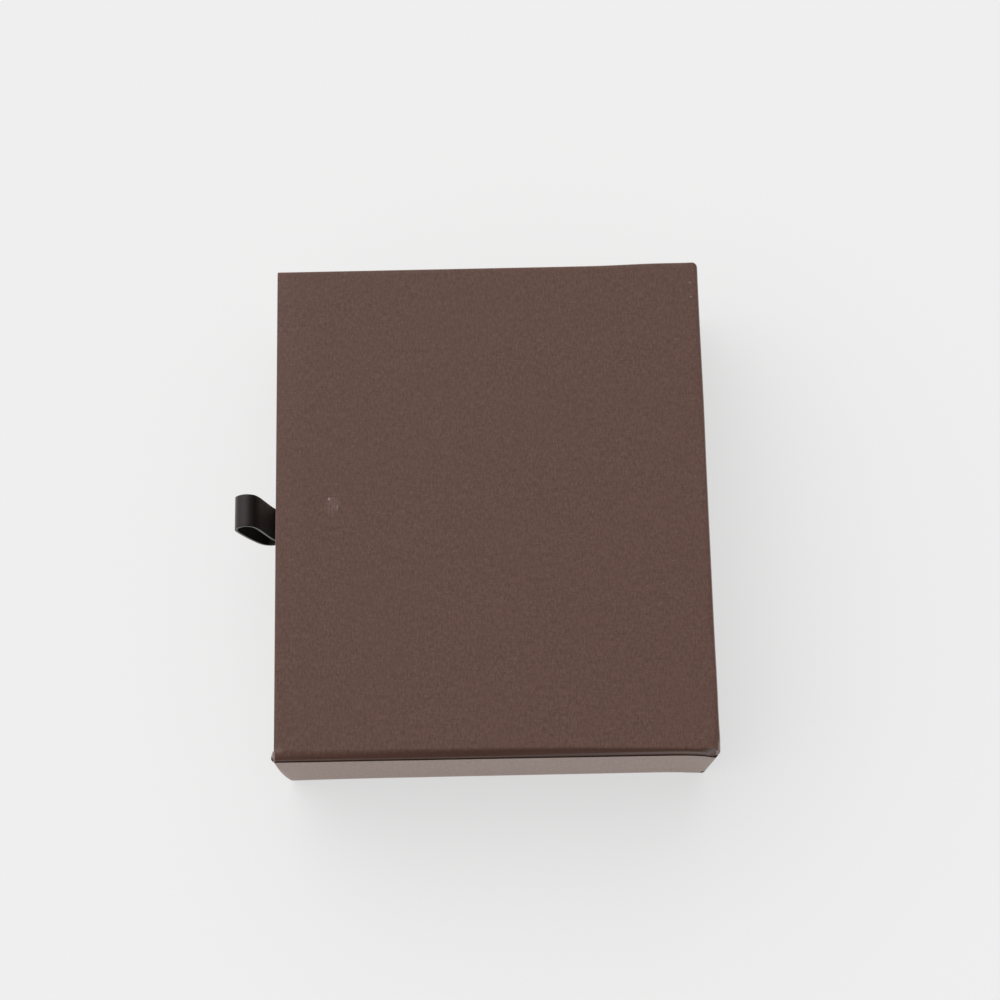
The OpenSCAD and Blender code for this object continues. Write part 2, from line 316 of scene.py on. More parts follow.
def stainMask(tree, spot, grain):
    middle, reach = spot["middle"], spot["reach"]
    length = tree.nodes.new("ShaderNodeVectorMath")
    length.operation = "LENGTH"
    scale = tuple(1 / (r * mm) for r in reach)
    away = placeOnPiece(tree, scale, tuple(-c / r for c, r in zip(middle, reach)))
    tree.links.new(away, length.inputs[0])
    soft = rangeNode(tree, length.outputs["Value"], spot["core"], 1.0, spot["share"], 0.0)
    return times(tree, soft, rangeNode(tree, grain, 0.38, 0.56, spot["least"], 1.0), clamp=True)


# The top sheet's edges: painted shade along the near edge's roll and its steep foot, and a painted sheen that
# makes every other edge paler
def paintedEdgeShadeAndSheen(tree, body, look):
    split = tree.nodes.new("ShaderNodeSeparateXYZ")
    tree.links.new(tree.nodes.new("ShaderNodeTexCoord").outputs["Object"], split.inputs["Vector"])
    x, y, z = split.outputs["X"], split.outputs["Y"], split.outputs["Z"]
    near = times(tree, rangeNode(tree, y, *look["nearStrip"], 1.0, 0.0),
                 rangeNode(tree, x, *look["nearEnds"], 1.0, 0.0))
    footShade = times(tree, rangeNode(tree, x, *look["footShadeAlong"], 0.0, 1.0 - look["nearShadeShare"]),
                  rangeNode(tree, z, *look["footShadeBelow"], 1.0, 0.0))
    # painted shade: how far the near roll is darkened, its steep foot more so towards the closed end
    drawn = plus(tree, footShade, rangeNode(tree, z, *look["nearShadeBelow"], look["nearShadeShare"], 0.0))
    body = mixColour(tree, times(tree, drawn, near), body, look["nearShadeTone"])
    # painted sheen: every edge but the near one is paler near the top, fading lower down
    sheenMask = rangeNode(tree, z, *look["edgeSheenBelow"], look["edgeSheenShare"], 0.0)
    sheenMask = times(tree, sheenMask, mathNode(tree, "SUBTRACT", 1.0, near))
    sheenMask = times(tree, sheenMask, rangeNode(tree, z, *look["edgeSheenFades"], look["edgeSheenLeast"], 1.0))
    return mixColour(tree, sheenMask, body, look["edgeSheenTone"])


# Linen-embossed covering paper: short strokes along each axis, pale flecks and a faint mottle
def embossedPaper(name, look):
    material, tree, shader = newMaterial(name)
    fine, long = look["threadsPerMetre"], look["strokesPerMetre"]
    strokes = [
        stretchedNoise(tree, (long, fine, fine), 2, 0.6),
        stretchedNoise(tree, (fine, long, fine), 2, 0.6, (3.1, 1.7, 0.4)),
        stretchedNoise(tree, (fine, fine, long), 2, 0.6, (7.9, 4.3, 2.2)),
    ]
    parts = [times(tree, stroke, part) for stroke, part in zip(strokes, look["strokeParts"])]
    emboss = plus(tree, plus(tree, parts[0], parts[1]), parts[2])
    mottle = stretchedNoise(tree, (look["mottle"],) * 3, 3, 0.55, (0.3, 0.9, 0.1))
    specks = stretchedNoise(tree, (look["specks"],) * 3, 1, 0.5, (5.0, 2.0, 8.0))
    body = tint(tree, look["dark"], look["light"], emboss, 0.35, 0.65, 0.0, 1.0)
    body = tint(tree, body, look["mottleColour"], mottle, 0.3, 0.7, 0.0, look["mottleShare"])
    body = tint(tree, body, look["fleck"], specks, 0.68, 0.8, 0.0, look["fleckShare"])
    body = tint(tree, body, look["darkFleck"], specks, 0.22, 0.34, look["fleckShare"], 0.0)
    for spot in look.get("stains", ()):
        body = mixColour(tree, stainMask(tree, spot, emboss), body, spot["colour"])
    # painted edge shade and sheen, on the top sheet only
    if "nearShadeTone" in look:
        body = paintedEdgeShadeAndSheen(tree, body, look)
    dressShader(tree, shader, look, body, emboss, emboss)
    shader.inputs["Specular IOR Level"].default_value = look["gloss"]
    shader.inputs["Sheen Weight"].default_value = look["sheen"]
    shader.inputs["Sheen Roughness"].default_value = 0.5
    shader.inputs["Sheen Tint"].default_value = (*look["sheenTint"], 1)
    return material


coverPaperLook = {
    "dark": (0.071, 0.036, 0.027),
    "light": (0.136, 0.072, 0.054),
    "mottleColour": (0.104, 0.052, 0.040),
    "fleck": (0.20, 0.15, 0.12),
    "darkFleck": (0.05, 0.024, 0.018),
    "fleckShare": 0.4,
    "threadsPerMetre": 1900,
    "strokesPerMetre": 680,
    "strokeParts": (0.25, 0.5, 0.25),  # of the strokes along each axis
    "mottle": 60,
    "mottleShare": 0.35,
    "specks": 1500,
    "roughness": (0.38, 0.28),  # low and high in the emboss
    "gloss": 0.2,
    "sheen": 0.25,  # the coating's fine fibres brighten at a glancing angle
    "sheenTint": (1.0, 0.62, 0.45),
    "depth": 0.00008,
    "strength": 0.5,
}
plainPaperMaterial = embossedPaper("embossed brown paper", coverPaperLook)
# the corner ear's paper is paler: a painted highlight where its fold faces the light from the mouth's side
earHighlightPaperMaterial = embossedPaper("brown paper with painted highlight", dict(
    coverPaperLook, dark=(0.20, 0.145, 0.14), light=(0.28, 0.21, 0.195), mottleColour=(0.24, 0.175, 0.165)))
# the strip round the walls: cloudier; its near upright edge carries a painted highlight at the mouth and a
# greyer painted reflection at the closed end
sidePaperMaterial = embossedPaper("brown side paper", dict(
    coverPaperLook, strokeParts=(0.2, 0.2, 0.6), dark=(0.056, 0.028, 0.021), light=(0.15, 0.080, 0.060),
    mottle=190, mottleShare=0.6, mottleColour=(0.122, 0.062, 0.047),
    stains=[
        # painted highlight on the near upright edge at the mouth
        stain((-62.1, -72.7, 21), (1.15, 1.0, 23), 0.65, (0.30, 0.26, 0.24), core=0.3, least=0.6),
        # painted reflection: the near upright edge at the closed end is greyer
        stain((61.7, -72.6, 20), (1.7, 1.6, 34), 0.5, (0.10, 0.085, 0.072), core=0.6, least=0.8),
    ]))
# the top's sheet: painted shade on the near edge, painted sheen on the other edges, scuffs, pale and dark
# specks, a darker patch by the mouth's near corner and painted shade at the near closed corner
coverPaperMaterial = embossedPaper("top brown paper with painted edge shade", dict(
    coverPaperLook, sheen=0.14,
    nearStrip=(nearY + 4 * mm, nearY + 5 * mm), nearEnds=(endX - 1.5 * mm, endX - 0.7 * mm),
    # painted shade on the near edge's roll and steep foot
    nearShadeTone=(0.060, 0.026, 0.018), nearShadeShare=0.66, nearShadeBelow=(topZ - 0.4 * mm, topZ - 0.03 * mm),
    footShadeAlong=(-10 * mm, 40 * mm), footShadeBelow=(topZ - 1.6 * mm, topZ - 0.9 * mm),
    # painted sheen on every edge but the near one
    edgeSheenTone=(0.28, 0.22, 0.215), edgeSheenShare=0.8, edgeSheenBelow=(topZ - 0.25 * mm, topZ - 0.005 * mm),
    edgeSheenFades=(topZ - 1.5 * mm, topZ - 0.8 * mm), edgeSheenLeast=0.2,
    stains=[
        stain((-45.7, 0.9, 45.5), (2.4, 3.4, 1), 0.4, (0.19, 0.12, 0.115)),
        stain((-46.5, 2.6, 45.5), (0.5, 0.6, 1), 0.9, (0.30, 0.24, 0.22)),
        stain((-44.2, 0.2, 45.5), (0.35, 1.1, 1), 0.6, (0.24, 0.18, 0.16)),
        stain((-60.5, -69.2, 45.5), (1.6, 1.0, 1), 0.55, (0.19, 0.13, 0.125)),
        stain((-60.2, -71.3, 44.4), (1.7, 1.3, 1.6), 0.8, (0.10, 0.026, 0.021)),
        stain((59.8, 66.4, 45.5), (0.7, 0.35, 1), 0.7, (0.22, 0.17, 0.14)),
        stain((59.9, 62.0, 45.5), (0.6, 0.4, 1), 0.7, (0.24, 0.19, 0.16)),
        stain((60.0, 72.6, 45.2), (0.45, 0.6, 1), 0.9, (0.05, 0.034, 0.024)),
        stain((61.4, 72.1, 45.2), (0.45, 0.6, 1), 0.9, (0.05, 0.034, 0.024)),
        # painted shade: the dark wedge on the roll at the near closed corner
        stain((60.2, -71.7, 44.9), (1.6, 0.5, 0.9), 0.9, (0.036, 0.016, 0.013)),
    ]))
drawerPaperMaterial = embossedPaper("embossed drawer paper", dict(
    coverPaperLook, dark=(0.070, 0.038, 0.030), light=(0.084, 0.047, 0.036),
    mottleColour=(0.076, 0.041, 0.032)))


# Uncoated paper or board: fibres that lie about in the sheet, with flecks
def fibrePaper(name, look):
    material, tree, shader = newMaterial(name)
    fine, long = look["fibres"], look["fibres"] * 0.25
    across = stretchedNoise(tree, (fine, long, fine), 3, 0.6)
    along = stretchedNoise(tree, (long, fine, fine), 3, 0.6, (2.0, 5.0, 1.0))
    fibre = times(tree, plus(tree, across, along), 0.5)
    cloud = stretchedNoise(tree, (look["cloud"],) * 3, 2, 0.5, (1.0, 3.0, 6.0))
    specks = stretchedNoise(tree, (look["specks"],) * 3, 1, 0.5, (4.0, 7.0, 2.0))
    body = tint(tree, look["dark"], look["light"], fibre, 0.35, 0.65, 0, 1)
    body = tint(tree, body, look["cloudColour"], cloud, 0.35, 0.65, 0, 0.4)
    body = tint(tree, body, look["fleck"], specks, 0.66, 0.74, 0, look["fleckShare"])
    dressShader(tree, shader, look, body, fibre, fibre)
    return material


liningMaterial = fibrePaper("sand lining paper", {
    "dark": (0.43, 0.34, 0.23), "light": (0.52, 0.42, 0.30), "cloudColour": (0.50, 0.40, 0.28),
    "fleck": (0.36, 0.27, 0.18), "fleckShare": 0.35, "fibres": 1600, "cloud": 45, "specks": 900,
    "roughness": (0.84, 0.72), "depth": 0.00005, "strength": 0.5,
})
boardMaterial = fibrePaper("grey board", {
    "dark": (0.20, 0.19, 0.16), "light": (0.30, 0.28, 0.24), "cloudColour": (0.26, 0.24, 0.20),
    "fleck": (0.10, 0.10, 0.11), "fleckShare": 0.8, "fibres": 1100, "cloud": 80, "specks": 1300,
    "roughness": (0.96, 0.84), "depth": 0.0001, "strength": 0.7,
})
tapeMaterial = fibrePaper("gummed tape", {
    "dark": (0.34, 0.21, 0.10), "light": (0.45, 0.30, 0.15), "cloudColour": (0.40, 0.26, 0.12),
    "fleck": (0.22, 0.13, 0.06), "fleckShare": 0.5, "fibres": 900, "cloud": 60, "specks": 1000,
    "roughness": (0.76, 0.64), "depth": 0.00008, "strength": 0.6,
})
# near-black: the paper's cut edges, and also painted shade in the seam's groove, in the ear's slit and on the
# patch at the near closed foot
cutEdgeShadeMaterial = fibrePaper("cut paper edge and painted shade", {
    "dark": (0.018, 0.010, 0.008), "light": (0.030, 0.016, 0.012), "cloudColour": (0.024, 0.013, 0.010),
    "fleck": (0.05, 0.03, 0.024), "fleckShare": 0.3, "fibres": 1500, "cloud": 90, "specks": 1200,
    "roughness": (0.91, 0.79), "depth": 0.00003, "strength": 0.3,
})


def strapLeather(name, look):
    material, tree, shader = newMaterial(name)
    grain = stretchedNoise(tree, (look["grain"],) * 3, 3, 0.6)
    cloud = stretchedNoise(tree, (look["cloud"],) * 3, 2, 0.5, (3.0, 1.0, 2.0))
    body = tint(tree, look["dark"], look["light"], grain, 0.3, 0.7, 0, 1)
    dressShader(tree, shader, look, body, cloud, grain)
    shader.inputs["Specular IOR Level"].default_value = look["gloss"]
    shader.inputs["Sheen Weight"].default_value = look["sheen"]
    shader.inputs["Sheen Roughness"].default_value = 0.35
    return material


strapMaterial = strapLeather("dark satin strap", {
    "dark": (0.009, 0.006, 0.005), "light": (0.015, 0.010, 0.008), "grain": 2600, "cloud": 300,
    "roughness": (0.29, 0.40), "gloss": 0.26, "sheen": 0.12, "depth": 0.00002, "strength": 0.35,
})
print("materials made")


# Cover paper: the sheet over the top board, rolled over three edges and turned in at the mouth
cover = {
    "cornerR": 1.1 * mm,
    "standBack": 0.29 * mm,  # its skirt lies this far behind the side paper's face
    "nearRoll": (2.36 * mm, -0.0130, -0.105),  # width of the near edge's roll: middle, slope, bend along it
    "farRoll": 0.8 * mm,
    "endRoll": 0.8 * mm,
    "cornerRoll": (1.6 * mm, 0.7 * mm),  # the roll draws in to this at the near and far closed corners
    "tightenOver": 4 * mm,
    "rollWaver": (0.04, 70),  # of its width, and how fine
    "nearShape": 1.15,  # 2 is a round roll, less is flatter, more is squarer
    "farShape": 2.0,
    "endShape": 2.2,
    # how far the rolls stand out over the walls: the far one grows towards the closed end, and the closed
    # end's by its near corner and its far third
    "farSwell": (0.19 * mm, 0.63 * mm),
    "farGrows": (30 * mm, 22 * mm),
    "endSwell": 0.42 * mm,
    "endBumps": ((30 * mm, 14 * mm, 0.11 * mm), (-62 * mm, 16 * mm, 0.18 * mm)),
    "cornerBulge": (0.40 * mm, 6.5 * mm),  # how far the near closed corner stands out, and over what length
    "seamAtMiddle": 43.02 * mm,  # height of the side paper's top edge on the near side
    "seamSlope": -0.0163,  # the near edge was cut a little askew
    "seamWaver": (0.07 * mm, 55),
    "cornerDip": 3.4 * mm,
    "dipOver": 4.6 * mm,
    "tuck": 0.6 * mm,  # how far the sheet runs on behind the side paper
    "leastRoll": 1.2 * mm,  # least height of the roll
    "steepRows": 3,  # rows of the roll's steep foot, which grows towards the closed end
    "steepWide": (0.38 * mm, 0.62 * mm),
    "steepLeast": 1.0 * mm,  # least height of the steep foot
    "steepFrom": -8 * mm,
    "steepOver": 50 * mm,
    "steepEnds": 5 * mm,  # it fades out over this by the near closed corner
    "farSteep": 0.3,  # share of its height on the far side
    "bevelRise": 0.87,  # height of the near bevel over its width, where the foot is steep
    "mouthRound": 0.3 * mm,
    "roundSteps": 4,
    "turnIn": 12 * mm,
    "paper": 0.22 * mm,
    "spacing": 1.5 * mm,
    "rollSteps": 12,
    "mouthDraw": (0.3 * mm, 7 * mm, 5 * mm),  # the mouth's edge falls back towards its near corner
    "mouthZone": 3 * mm,
}
coverStartX = mouthX + cover["mouthRound"]
coverCorners = [Vector(p) for p in ((coverStartX, nearY), (endX, nearY), (endX, farY), (coverStartX, farY))]
coverStops = walkPlan(coverCorners, [0, cover["cornerR"], cover["cornerR"], 0], cover["spacing"])


def seamHeight(stop):
    x, y = stop["place"]
    size, fine = cover["seamWaver"]
    waver = size * noise.noise(Vector((x * fine, y * fine, 0.3)))
    atCorner = cover["seamAtMiddle"] + cover["seamSlope"] * endX - cover["cornerDip"]
    if stop["outward"].y < -0.7:
        dip = cover["cornerDip"] * ease(1 - (endX - x) / cover["dipOver"])
        return cover["seamAtMiddle"] + cover["seamSlope"] * x - dip + waver
    if stop["outward"].x > 0.7:
        share = (y - nearY) / (farY - nearY)
        return lerp(atCorner, seamZ, ease(share * 6)) + waver  # it rises again over a sixth of the end
    return atCorner if stop["outward"].y < 0 else seamZ + waver


# Width of the roll at a stop of the walk round the cover
def rollWidth(stop):
    x, y = stop["place"]
    atCorner = cover["cornerRoll"][0 if y < 0 else 1]
    if stop["centre"] is not None:
        return atCorner
    if abs(stop["outward"].x) > 0.7:
        full = cover["endRoll"]
    elif stop["outward"].y < 0:
        middle, slope, bend = cover["nearRoll"]
        full = middle + slope * x + bend * x * x
    else:
        full = cover["farRoll"]
    nearest = min(stop["before"], stop["after"]) - cover["cornerR"]
    roll = lerp(atCorner, full, ease(nearest / cover["tightenOver"]))
    size, fine = cover["rollWaver"]
    return roll * (1 + size * noise.noise(Vector((*stop["place"] * fine, 1.7))))


# How far the near closed corner stands out at a stop
def cornerBulge(stop):
    most, over = cover["cornerBulge"]
    away = (stop["place"] - Vector((endX, nearY))).length
    return most * math.exp(-(max(0.0, away - 0.5 * mm) / over) ** 2)


# How far the roll stands out past the wall at a stop: less than nothing on the near side
def swellOf(stop):
    x, y = stop["place"]
    atEnd = cover["endSwell"] + sum(high * math.exp(-((y - middle) / over) ** 2)
                                    for middle, over, high in cover["endBumps"])
    if y > 0:
        start, over = cover["farGrows"]
        along = lerp(*cover["farSwell"], ease((x - start) / over))
    else:
        along = -cover["standBack"]
    return lerp(along, atEnd, ease(abs(stop["outward"].x)))


# A place on the roll, from its foot at row 0 to the flat top at the last, at a depth under the paper's face.
# Every foot stands back behind the side paper; away from the near side the roll swells out over the wall.
def rollPlace(stop, row, under=0.0):
    x, y = stop["place"]
    steps, steepRows = cover["rollSteps"], cover["steepRows"]
    end = ease(abs(stop["outward"].x))
    power = lerp(2 / cover["nearShape" if y < 0 else "farShape"], 2 / cover["endShape"], end)
    low, width = min(seamHeight(stop), topZ - cover["leastRoll"]), rollWidth(stop)
    growth = ease((x - cover["steepFrom"]) / cover["steepOver"])
    steepWide = min(lerp(*cover["steepWide"], growth), 0.45 * width) * (1 - end)
    steepHigh = max(cover["steepLeast"], topZ - low - (width - steepWide) * cover["bevelRise"])
    steepHigh = lerp(cover["steepLeast"], steepHigh, growth * (1 - end))
    if y < 0:
        steepHigh *= ease((endX - x) / cover["steepEnds"])
    else:
        steepHigh *= cover["farSteep"]
        steepWide = 0.0
    share = row / steps
    climb = min(1.0, row / steepRows)
    turn = math.radians(90) * max(0, row - steepRows) / (steps - steepRows)
    out = lerp(cover["standBack"], -swellOf(stop), ease(1.6 * share))
    out -= cornerBulge(stop) * lerp(1.0, 0.5, share)
    inset = out + under + steepWide * climb + (width - steepWide) * (1 - math.cos(turn) ** power)
    z = low + steepHigh * climb + (topZ - low - steepHigh) * math.sin(turn) ** power
    return Vector((*insetStop(stop, inset), z - under * share))


def makeCoverPaper():
    bm = bmesh.new()
    for layer in ("stop", "source"):
        bm.verts.layers.int.new(layer)
    key, mark = bm.verts.layers.int["stop"], bm.verts.layers.int["source"]
    back = cover["standBack"]

    def at(i, inset, z):
        return Vector((*insetStop(coverStops[i], inset), z))

    def startZ(i):
        mouthShare = ease((coverStops[i]["place"].x - mouthX) / cover["mouthZone"])
        return lerp(seamZ, min(seamZ, seamHeight(coverStops[i]) - cover["tuck"]), mouthShare)

    edges = startRow(bm, key, coverStops, lambda i: at(i, back, startZ(i)))
    for row in range(cover["rollSteps"] + 1):
        edges = nextRow(bm, key, edges, lambda i: rollPlace(coverStops[i], row))
    edges = nextRow(bm, key, edges, lambda i: at(i, back + rollWidth(coverStops[i]) + 0.5 * mm, topZ))
    fillRow(bm, key, edges)

    # the mouth's edge: round it over, close the front and turn the sheet in under the board
    edges = [e for e in bm.edges if e.is_boundary and all(abs(v.co.x - coverStartX) < 1e-6 for v in e.verts)]
    inside = Vector((0, 0, 0.02))
    sources = []
    for vert in dict.fromkeys(v for e in edges for v in e.verts):
        total = Vector((0, 0, 0))
        for face in vert.link_faces:
            face.normal_update()
            outward = face.normal.z > -0.5 and face.normal.dot(vert.co - inside) > 0
            total += face.normal if outward else -face.normal
        total.x = 0
        sources.append((vert.co.copy(), total.normalized()))
        vert[mark] = len(sources)
    for step in range(1, cover["roundSteps"] + 1):
        turn = math.radians(90) * step / cover["roundSteps"]
        shift = cover["mouthRound"] * (1 - math.cos(turn))
        verts, edges = extrudeEdges(bm, edges)
        for vert in verts:
            spot, normal = sources[vert[mark] - 1]
            vert.co = spot - normal * shift
            vert.co.x = coverStartX - cover["mouthRound"] * math.sin(turn)
    sill = bm.edges.new(sorted({v for e in edges for v in e.verts}, key=lambda v: (v.co.z, v.co.y))[:2])
    bmesh.ops.contextual_create(bm, geom=edges + [sill])
    for reach in (0.3 * mm, cover["turnIn"]):
        verts, edges = extrudeEdges(bm, [sill])
        for vert in verts:
            vert.co.x = mouthX + reach
        sill = edges[0]
    most, start, over = cover["mouthDraw"]
    for vert in bm.verts:
        share = ease((nearY + start - vert.co.y) / over) * ease(1 - (vert.co.x - mouthX) / cover["mouthZone"])
        vert.co.x += most * share
    mergeSheet(bm)
    turnOut(bm, max(bm.faces, key=lambda f: f.calc_area()), up)
    piece = finishPiece("cover_paper", bm, [coverPaperMaterial], "sleeve", 35)
    thicken(piece, cover["paper"])
    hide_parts("cover_wrap")


# The top board under it, with its edges worked to the same roll
def makeTopBoard():
    bm = bmesh.new()
    key = bm.verts.layers.int.new("stop")
    under = cover["paper"] + 0.08 * mm
    steps = cover["rollSteps"]
    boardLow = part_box("cover_board")[0]
    stops = [stop for stop in coverStops if stop["place"].x > boardLow.x]
    lowest = []  # the roll's row that lies just above the board's underside, at each stop
    for stop in stops:
        row = 0.0
        while rollPlace(stop, row, under).z < boardLow.z + 0.05 * mm:
            row += 0.05
        lowest.append(row)

    def place(i, row):
        return rollPlace(stops[i], lerp(lowest[i], steps, row / steps), under)

    ring = fillRow(bm, key, startRow(bm, key, stops, lambda i: Vector((*place(i, 0).xy, boardLow.z))))
    for row in range(steps + 1):
        ring = nextRow(bm, key, ring, lambda i: place(i, row))
    bmesh.ops.contextual_create(bm, geom=ring)
    bmesh.ops.remove_doubles(bm, verts=bm.verts, dist=0.004 * mm)
    bmesh.ops.recalc_face_normals(bm, faces=bm.faces)
    piece = finishPiece("top_board", bm, [boardMaterial], "sleeve", 35)
    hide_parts("cover_board")


makeCoverPaper()
makeTopBoard()
print("cover paper and top board made")


# The near and end walls' boards, pared away at edge and corner, where the top sheet is drawn down over them
wallBoard = {"paredDown": 3.4 * mm, "paredIn": 1.1 * mm, "corner": 0.75 * mm}


def makeWallBoard(name, node):
    low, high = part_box(node)
    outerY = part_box("sleeve_near_wall")[0].y
    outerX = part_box("sleeve_end_wall")[1].x
    down, inwards, corner = wallBoard["paredDown"], wallBoard["paredIn"], wallBoard["corner"]
    cuts = [
        (Vector((0, outerY, high.z - down)), Vector((0, -down, inwards))),
        (Vector((outerX - corner, outerY, 0)), Vector((1, -1, 0))),
    ]
    bm = bmesh.new()
    bmesh.ops.create_cube(bm, size=1.0)
    bmesh.ops.scale(bm, verts=bm.verts, vec=high - low)
    bmesh.ops.translate(bm, verts=bm.verts, vec=(low + high) / 2)
    for place, normal in cuts:
        bmesh.ops.bisect_plane(bm, geom=bm.verts[:] + bm.edges[:] + bm.faces[:], plane_co=place,
                               plane_no=normal.normalized(), clear_outer=True)
        cutEdges = [edge for edge in bm.edges if edge.is_boundary]
        if cutEdges:
            bmesh.ops.contextual_create(bm, geom=cutEdges)
    bmesh.ops.recalc_face_normals(bm, faces=bm.faces)
    piece = finishPiece(name, bm, [boardMaterial], "sleeve", 20)
    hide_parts(node)


makeWallBoard("near_wall_board", "sleeve_near_wall")
makeWallBoard("end_wall_board", "sleeve_end_wall")
print("wall boards made")


# Side paper: one strip round the walls, turned in round the mouth's uprights and under the base
side = {
    "cornerR": 0.9 * mm,
    "lipR": 0.15 * mm,  # inner edges at the mouth
    "outerLipR": 0.5 * mm,  # and its outer edges
    "wall": 2.6 * mm,  # board and both layers of paper
    "turnIn": 12 * mm,
    "footR": 1.0 * mm,
    "footSteps": 5,
    "lift": 0.3 * mm,  # the base sheet lies under it
    "paper": 0.12 * mm,
    "under": 12 * mm,
    "spacing": 1.5 * mm,
    "rows": 10,
    "flat": (0.04 * mm, 40),  # how far the faces wander from flat, and how finely
    "bow": 0.36 * mm,  # the near wall stands out a little by the mouth, at half height
    "footBow": 0.22 * mm,  # and at its foot
    "bowOver": 16 * mm,
    "drawnIn": (-0.32 * mm, 0.15 * mm, 5 * mm),  # the mouth's near upright: at half height, at the foot, over
    "drawnOver": 3 * mm,
    # at the near closed foot the strip's flaps don't quite meet; the faces there take the near-black cut-edge
    # material as painted shade, this wide and this high
    "paintedShadeWidth": 1.3 * mm,
    "paintedShadeHigh": 4 * mm,
}


def makeSidePaper():
    bm = bmesh.new()
    key = bm.verts.layers.int.new("stop")
    inY = nearY + side["wall"]
    backX = mouthX + side["turnIn"]
    points = [Vector(p) for p in (
        (backX, inY), (mouthX, inY), (mouthX, nearY), (endX, nearY),
        (endX, farY), (mouthX, farY), (mouthX, -inY), (backX, -inY))]
    lip, outerLip = side["lipR"], side["outerLipR"]
    radii = [0, lip, outerLip, side["cornerR"], side["cornerR"], outerLip, lip, 0]
    stops = walkPlan(points, radii, side["spacing"])
    # a stop of the near wall moved to the edge of the painted shade patch by the closed foot
    paintedShadeStop = [stop for stop in stops if stop["run"] == 2][-2]
    slide = endX - side["paintedShadeWidth"] - paintedShadeStop["place"].x
    paintedShadeStop["place"] = paintedShadeStop["place"] + Vector((slide, 0))
    paintedShadeStop["before"] += slide
    paintedShadeStop["after"] -= slide
    footTop = side["lift"] + side["footR"]

    # 0 for a stop on the inside or on the mouth's front, 1 for one on the outside
    def outerShare(stop):
        if stop["run"] in (1.5, 5.5):
            return ease(abs(stop["outward"].y))
        return 1.0 if 2 <= stop["run"] <= 5 else 0.0

    def topOf(stop):
        return lerp(seamZ - 0.02 * mm, seamHeight(stop), outerShare(stop))

    def bottomOf(stop):
        return footTop if 0.5 <= stop["run"] <= 6 else floorZ

    def at(i, z, inset=0.0):
        stop = stops[i]
        spot = insetStop(stop, inset)
        if outerShare(stop) == 1.0 and stop["centre"] is None and inset == 0:
            size, fine = side["flat"]
            wander = size * noise.noise(Vector((spot.x * fine, spot.y * fine, z * fine)))
            spot = spot - stop["outward"] * abs(wander)
        if inset < 1.5 * mm:
            spot = spot + stop["outward"] * cornerBulge(stop)
        height = max(0.0, min(1.0, z / seamZ))
        half, foot, over = side["drawnIn"]
        drawn = half * math.sin(math.pi * height) + foot * ease(1 - z / over)
        drawn *= ease(1 - (spot.x - mouthX) / side["drawnOver"]) * ease(1 - (spot.y - nearY) / side["wall"])
        spot.x += drawn
        bow = (side["bow"] * 4 * height + side["footBow"]) * (1 - height)
        if spot.y < nearY + 0.5 * mm:
            spot.y -= bow * math.exp(-(spot.x - mouthX) / side["bowOver"])
        return Vector((*spot, z))

    def wallPlace(i, share):
        return at(i, lerp(bottomOf(stops[i]), topOf(stops[i]), share))

    edges = startRow(bm, key, stops, lambda i: wallPlace(i, 1.0))
    for row in range(1, side["rows"] + 1):
        edges = nextRow(bm, key, edges, lambda i: wallPlace(i, 1 - row / side["rows"]))

    # the foot: round under, then the flap under the base; the mouth's front narrows with it
    def footPlace(i, turn):
        stop = stops[i]
        inset = side["footR"] * (1 - math.cos(turn))
        z = footTop - side["footR"] * math.sin(turn)
        if 2 <= stop["run"] <= 5:
            return at(i, z, inset)
        spot = stop["place"].copy()
        sign = -1 if spot.y < 0 else 1
        width = side["wall"]
        spot.y = sign * (-inY - (-inY - abs(spot.y)) * (width - inset) / width)
        return Vector((*spot, z))

    edges = [e for e in edges if all(0.5 <= stops[v[key]]["run"] <= 6 for v in e.verts)]
    for step in range(1, side["footSteps"] + 1):
        turn = math.radians(90) * step / side["footSteps"]
        edges = nextRow(bm, key, edges, lambda i: footPlace(i, turn))
    edges = [e for e in edges if all(2 <= stops[v[key]]["run"] <= 5 for v in e.verts)]
    for inset in (2 * mm, side["under"]):
        edges = nextRow(bm, key, edges, lambda i: at(i, side["lift"], inset))
    mergeSheet(bm)
    turnOut(bm, nearestFace(bm, Vector((0, nearY, 0.02))), towardsNear)
    # painted shade: the near-black cut-edge material on the faces by the near closed foot
    for face in bm.faces:
        x, y, z = face.calc_center_median()
        if x > endX - side["paintedShadeWidth"] and y < nearY + 0.4 * mm and z < side["paintedShadeHigh"]:
            face.material_index = 1
    piece = finishPiece("side_paper", bm, [sidePaperMaterial, cutEdgeShadeMaterial], "sleeve", 35)
    # its back and rims take the near-black edge material; on the top rim at the seam this is partly the cut
    # edge and partly painted shade
    thicken(piece, side["paper"], backIndex=1)
    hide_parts("sleeve_side_wrap")


makeSidePaper()
print("side paper made")


# The tape over the closed end's board corners
tape = {
    "reach": 13.7 * mm, "top": 40.0 * mm, "rows": 8,
    "paper": 0.25 * mm, "cornerR": 0.8 * mm, "spacing": 3 * mm,
}


